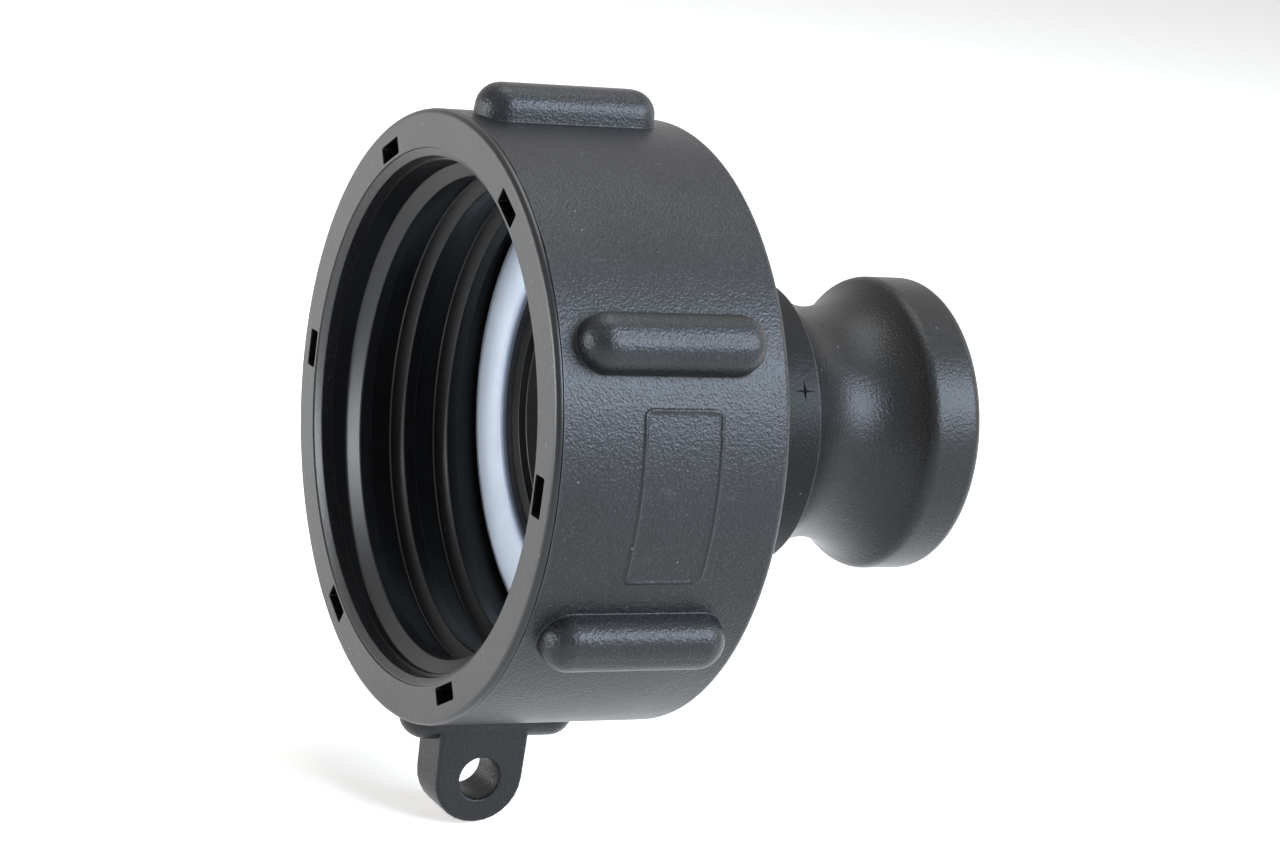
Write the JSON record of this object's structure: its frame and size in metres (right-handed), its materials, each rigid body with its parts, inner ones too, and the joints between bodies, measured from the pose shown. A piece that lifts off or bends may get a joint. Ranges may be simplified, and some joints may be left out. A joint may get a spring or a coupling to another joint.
{
  "type": "ibc tap adapter",
  "caption": "Moulded union nut with a coarse tank thread, grip ribs and a tether lug, turning freely on a grooved quick-coupling spigot with a flat gasket.",
  "frame": {"origin": "centre of the nut's mouth, on the nut's axis, in the plane of the mouth face", "axes": "+X along the axis from the mouth towards the spigot's end; +Z away from the lug, so the lug hangs down; the part is held by its tank thread"},
  "size_m": [0.0675, 0.0728, 0.0901],
  "materials": {
    "nut_plastic": "spark-textured moulded polypropylene, black",
    "spigot_plastic": "satin moulded polypropylene, black",
    "gasket": "smooth matt, bluish white"
  },
  "bodies": {
    "nut": {"union_nut": "nut_plastic"},
    "outlet": {"spigot": "spigot_plastic", "gasket": "gasket"}
  },
  "joints": [
    {"name": "swivel", "type": "hinge", "parent": "nut", "child": "outlet", "pos_m": [0, 0, 0], "axis": [1, 0, 0], "continuous": true}
  ]
}
